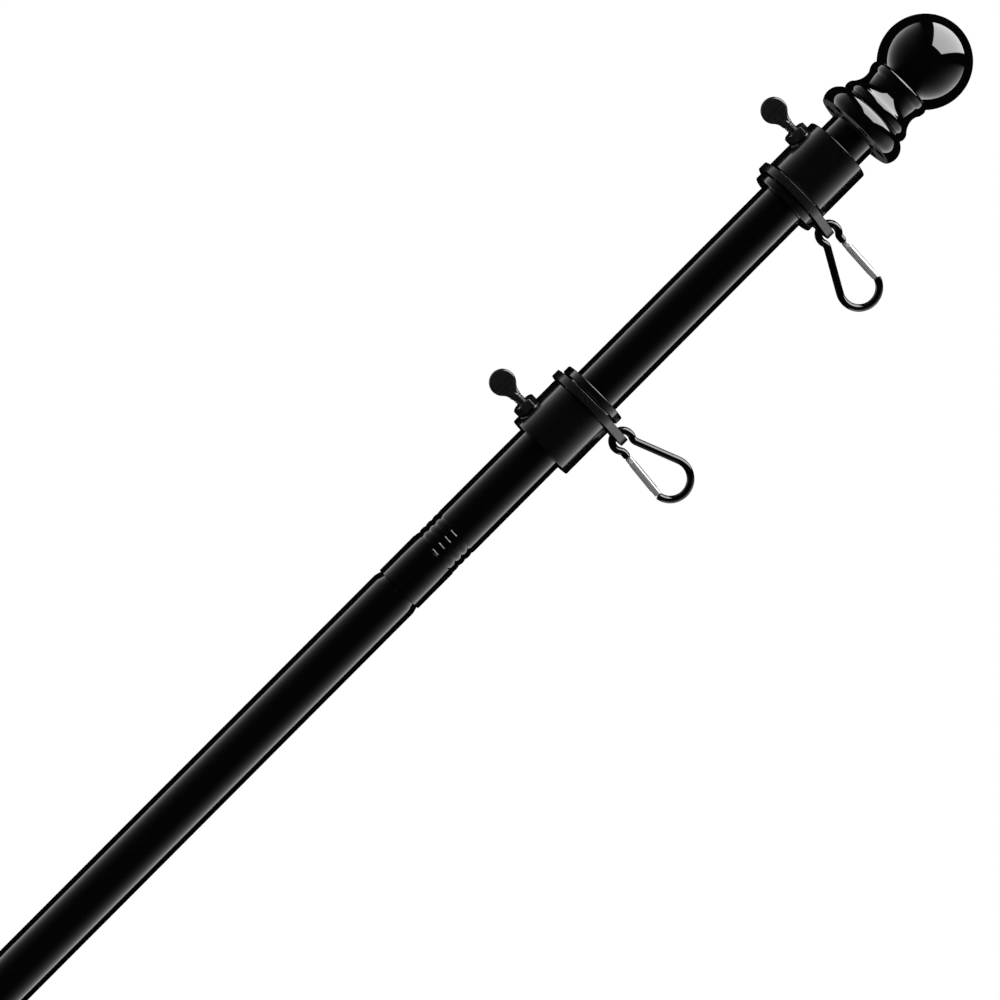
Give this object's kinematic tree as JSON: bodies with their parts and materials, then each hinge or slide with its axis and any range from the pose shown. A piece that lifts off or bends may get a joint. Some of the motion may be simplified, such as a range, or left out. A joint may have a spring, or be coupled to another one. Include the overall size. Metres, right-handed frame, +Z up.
{
  "type": "bracket-mounted flagpole",
  "caption": "Slim black screw-together flagpole for a wall bracket, with a ball finial and clamp-on swivelling flag holders that carry small carabiners.",
  "frame": {"origin": "centre of the flat underside of the butt cap", "axes": "+Z up the pole to the finial, +X out along the lugs of the swivel rings, -X out along the thumb screws"},
  "size_m": [0.1093, 0.0464, 1.5251],
  "materials": {
    "tube_black": "gloss black coated steel tube",
    "finial_black": "high gloss black",
    "cap_black": "satin black",
    "clamp_black": "satin black moulded",
    "screw_black": "semi-gloss black",
    "hook_black": "gloss black wire",
    "gate_silver": "bright silver",
    "rivet_steel": "plain steel"
  },
  "bodies": {
    "pole": {"finial_ball": "finial_black", "finial_base": "finial_black", "top_tube": "tube_black", "third_tube": "tube_black", "second_tube": "tube_black", "bottom_tube": "tube_black", "butt_cap": "cap_black"},
    "upper_holder": {"upper_collar": "clamp_black", "upper_sleeve": "clamp_black", "upper_nut": "screw_black"},
    "upper_screw": {"upper_thumb_screw": "screw_black"},
    "upper_swivel": {"upper_swivel_ring": "clamp_black"},
    "upper_carabiner": {"upper_hook": "hook_black", "upper_rivet": "rivet_steel"},
    "upper_gate": {"upper_gate": "gate_silver"},
    "lower_holder": {"lower_collar": "clamp_black", "lower_sleeve": "clamp_black", "lower_nut": "screw_black"},
    "lower_screw": {"lower_thumb_screw": "screw_black"},
    "lower_swivel": {"lower_swivel_ring": "clamp_black"},
    "lower_carabiner": {"lower_hook": "hook_black", "lower_rivet": "rivet_steel"},
    "lower_gate": {"lower_gate": "gate_silver"}
  },
  "joints": [
    {"name": "upper_slide", "type": "slide", "parent": "pole", "child": "upper_holder", "axis": [0, 0, 1], "range_m": [-0.03, 0.006]},
    {"name": "upper_screw_turn", "type": "hinge", "parent": "upper_holder", "child": "upper_screw", "pos_m": [-0.03, 0, 1.4332], "axis": [-1, 0, 0], "range_deg": [0, 450]},
    {"name": "upper_swivel_turn", "type": "hinge", "parent": "upper_holder", "child": "upper_swivel", "pos_m": [0, 0, 1.4112], "axis": [0, 0, 1], "continuous": true},
    {"name": "upper_hook_swing", "type": "hinge", "parent": "upper_swivel", "child": "upper_carabiner", "pos_m": [0.026, 0, 1.4112], "axis": [0, 1, 0], "range_deg": [-20, 50]},
    {"name": "upper_gate_open", "type": "hinge", "parent": "upper_carabiner", "child": "upper_gate", "pos_m": [0.0361, 0, 1.41392], "axis": [0, 1, 0], "range_deg": [0, 30], "stiffness_Nm_per_rad": 0.08, "springref_deg": -17.19},
    {"name": "lower_slide", "type": "slide", "parent": "pole", "child": "lower_holder", "axis": [0, 0, 1], "range_m": [-0.045, 0.02]},
    {"name": "lower_screw_turn", "type": "hinge", "parent": "lower_holder", "child": "lower_screw", "pos_m": [-0.03, 0, 1.2493], "axis": [-1, 0, 0], "range_deg": [0, 450]},
    {"name": "lower_swivel_turn", "type": "hinge", "parent": "lower_holder", "child": "lower_swivel", "pos_m": [0, 0, 1.2706], "axis": [0, 0, 1], "continuous": true},
    {"name": "lower_hook_swing", "type": "hinge", "parent": "lower_swivel", "child": "lower_carabiner", "pos_m": [0.026, 0, 1.2706], "axis": [0, -1, 0], "range_deg": [-10, 55]},
    {"name": "lower_gate_open", "type": "hinge", "parent": "lower_carabiner", "child": "lower_gate", "pos_m": [0.03569, 0, 1.26666], "axis": [0, -1, 0], "range_deg": [0, 30], "stiffness_Nm_per_rad": 0.08, "springref_deg": -17.19}
  ]
}
